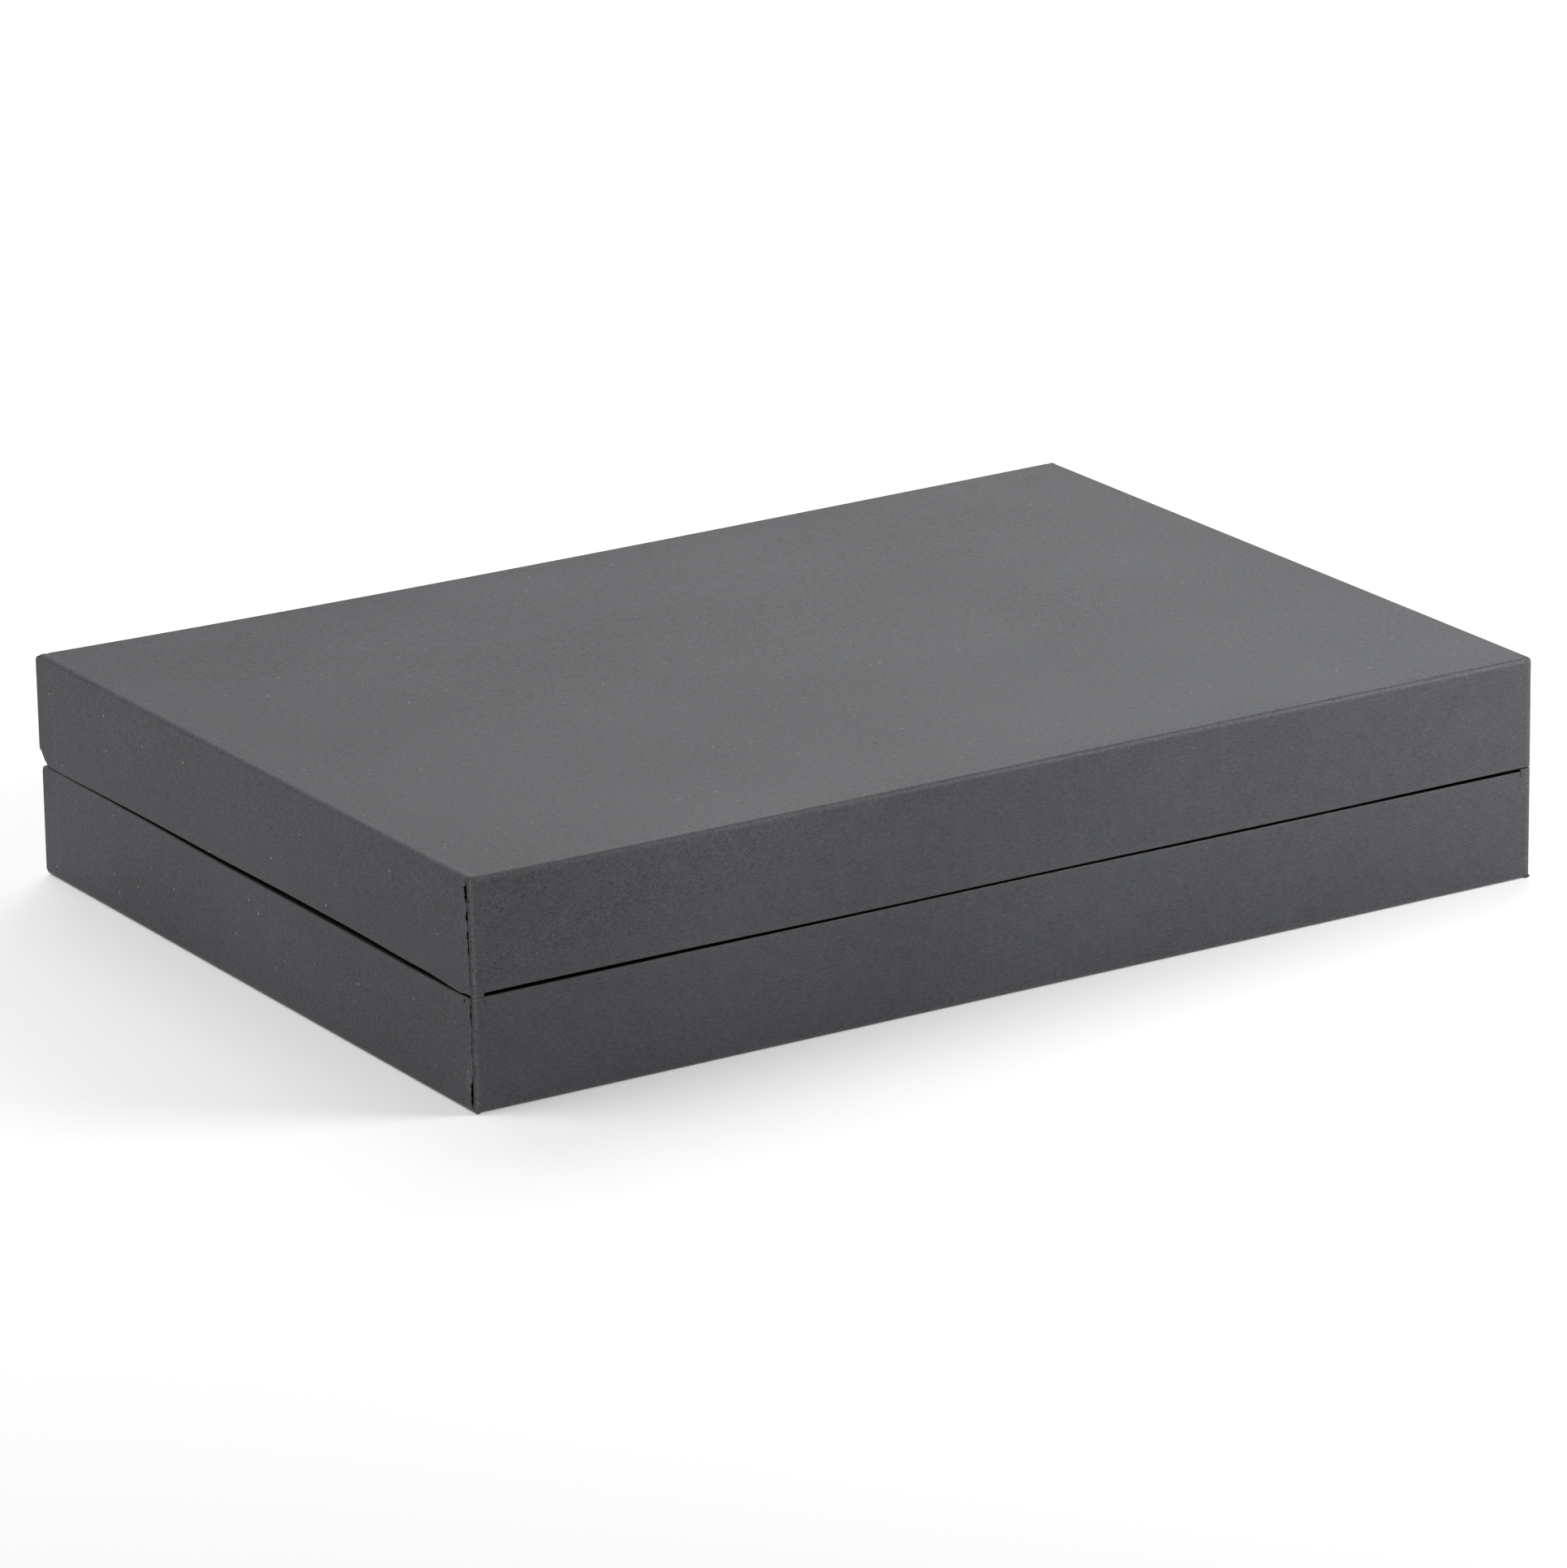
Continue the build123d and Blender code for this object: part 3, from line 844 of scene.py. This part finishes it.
def board_face():
    """Dyed solid board: fine grain, soft mottling, dust specks, faint rubs and burnished creases."""
    n = Nodes("grey_board_face")
    grain = n.noise(0.32, detail=2, roughness=0.6)
    fibres = n.noise(0.75, stretch=(2.2, 1.6, 1.0), offset=31.0)
    mottle = n.noise(4.5, offset=7.0, detail=3)
    cloud = n.noise(60.0, offset=3.0, detail=2)
    brightness = n.add(n.scaled(grain, 0.5, 2.0), n.scaled(fibres, 0.5, 0.6), n.scaled(mottle, 0.5, 0.34),
                       n.scaled(cloud, 0.5, 0.3), 1.0)
    bright_specks = n.math("MULTIPLY", n.specks(2.5, 0.38, 0.05), 0.75)
    faint_specks = n.math("MULTIPLY", n.specks(2.0, 0.42, 0.22, offset=5.0), 0.25)
    rub_mask = n.ramp(n.noise(22.0, offset=19.0), 0.50, 0.66)
    rubs = n.ramp(n.noise(0.5, stretch=(4, 4, 0.8), offset=11.0, detail=1), 0.68, 0.80)
    rubs = n.math("MULTIPLY", n.math("MULTIPLY", rubs, rub_mask), 0.7)
    patchy = n.ramp(n.noise(0.9, offset=23.0, detail=4, roughness=0.7), 0.35, 0.75)
    burnish = n.math("MULTIPLY", n.amount("wear"), n.math("ADD", n.math("MULTIPLY", patchy, 0.5), 0.1))
    fray = n.ramp(n.noise(0.3, stretch=(1, 1, 2.5), offset=41.0, detail=3, roughness=0.7), 0.50, 0.72)
    scuff = n.math("MULTIPLY", n.math("MULTIPLY", fray, n.amount("scuff")), 0.7)
    colour = n.tinted(BOARD_TONE, brightness)
    colour = n.colour(colour, SCUFF, n.math("MAXIMUM", burnish, rubs))
    colour = n.colour(colour, DUST, n.math("MAXIMUM", n.math("MAXIMUM", bright_specks, faint_specks), scuff))
    roughness = n.add(n.scaled(mottle, 0.5, 0.12), n.scaled(grain, 0.5, 0.15), ROUGHNESS)
    sheen = n.add(n.math("MULTIPLY", brightness, 0.46), 0.04)
    n.tree.links.new(sheen, n.shader.inputs["Specular IOR Level"])
    n.bump(n.add(grain, fibres, n.math("MULTIPLY", mottle, 0.6)), 0.03, 0.8)
    return n.finish(colour, roughness)


def board_core():
    """Cut edge of the board: lighter, layered and fibrous."""
    n = Nodes("grey_board_cut_edge")
    fibres = n.noise(0.25, stretch=(2, 2, 1), detail=4, roughness=0.7)
    layers = n.noise(0.4, offset=13.0)
    brightness = n.add(n.scaled(fibres, 0.5, 0.9), n.scaled(layers, 0.5, 0.4), 1.0)
    n.bump(fibres, 0.06, 0.8)
    core_tone = (0.085, 0.087, 0.091)
    return n.finish(n.tinted(core_tone, brightness), n.add(n.scaled(fibres, 0.5, 0.2), 0.8))


def paint():
    materials = board_face(), board_core()
    for piece in bpy.context.scene.objects:
        if piece.name.endswith("_board") and piece.type == "MESH":
            for material in materials:
                piece.data.materials.append(material)


# ---- floor, light and camera ----------------------------------------------------------
CAMERA_AT = (-1.2023, -1.8829, 0.7609)
CAMERA_AZIMUTH, CAMERA_ELEVATION, CAMERA_ROLL = 32.56, 18.219, 0.452      # degrees
CAMERA_LENS, SENSOR = 203.91, 36.0
FLOOR_REACH = 12.0         # metres
FLOOR_GLOW = 0.23
WORLD_GLOW = 0.12
LIT_POINT = (0, 0, 0.03)   # what the softboxes face
# each softbox: its name, place and size in metres, and power in watts
SOFTBOXES = (("back_softbox", (0.3, 1.2, 1.4), 1.2, 11.2),
             ("back_left_softbox", (-1.0, 1.0, 0.8), 1.0, 2.4),
             ("back_right_softbox", (1.0, 1.0, 0.8), 0.8, 5.3),
             ("left_softbox", (-0.9, 0.25, 1.3), 0.7, 8.6),
             ("front_right_card", (0.42, -0.42, 0.35), 0.3, 3.0))


def add_floor():
    """A pale flat sheet, far larger than the box."""
    mesh = bpy.data.meshes.new("studio_floor")
    r = FLOOR_REACH
    mesh.from_pydata([(-r, -r, 0), (r, -r, 0), (r, r, 0), (-r, r, 0)], [], [(0, 1, 2, 3)])
    floor = bpy.data.objects.new("studio_floor", mesh)
    bpy.context.scene.collection.objects.link(floor)
    material = bpy.data.materials.new("pale_floor")
    material.use_nodes = True
    shader = material.node_tree.nodes["Principled BSDF"]
    shader.inputs["Base Color"].default_value = (0.92, 0.92, 0.92, 1)
    shader.inputs["Roughness"].default_value = 0.95
    shader.inputs["Specular IOR Level"].default_value = 0.1
    shader.inputs["Emission Color"].default_value = (1, 1, 1, 1)
    shader.inputs["Emission Strength"].default_value = FLOOR_GLOW
    mesh.materials.append(material)


def add_softbox(name, at, size, watts):
    data = bpy.data.lights.new(name, "AREA")
    data.size = size
    data.energy = watts
    light = bpy.data.objects.new(name, data)
    light.location = at
    light.rotation_euler = (Vector(LIT_POINT) - Vector(at)).to_track_quat("-Z", "Y").to_euler()
    bpy.context.scene.collection.objects.link(light)


def add_lights():
    world = bpy.data.worlds.new("studio")
    world.use_nodes = True
    background = world.node_tree.nodes["Background"]
    background.inputs["Color"].default_value = (1, 1, 1, 1)
    background.inputs["Strength"].default_value = WORLD_GLOW
    bpy.context.scene.world = world
    for softbox in SOFTBOXES:
        add_softbox(*softbox)


def add_camera():
    azimuth, elevation = math.radians(CAMERA_AZIMUTH), math.radians(CAMERA_ELEVATION)
    forward = Vector((math.sin(azimuth) * math.cos(elevation), math.cos(azimuth) * math.cos(elevation),
                      -math.sin(elevation)))
    data = bpy.data.cameras.new("camera")
    data.lens = CAMERA_LENS
    data.sensor_width = SENSOR
    camera = bpy.data.objects.new("camera", data)
    turn = forward.to_track_quat("-Z", "Y").to_matrix().to_4x4()
    roll = Matrix.Rotation(math.radians(-CAMERA_ROLL), 4, "Z")
    camera.matrix_world = Matrix.Translation(CAMERA_AT) @ turn @ roll
    bpy.context.scene.collection.objects.link(camera)
    bpy.context.scene.camera = camera


build_box()
paint()
add_floor()
add_lights()
add_camera()
bpy.context.scene.view_settings.view_transform = "Standard"
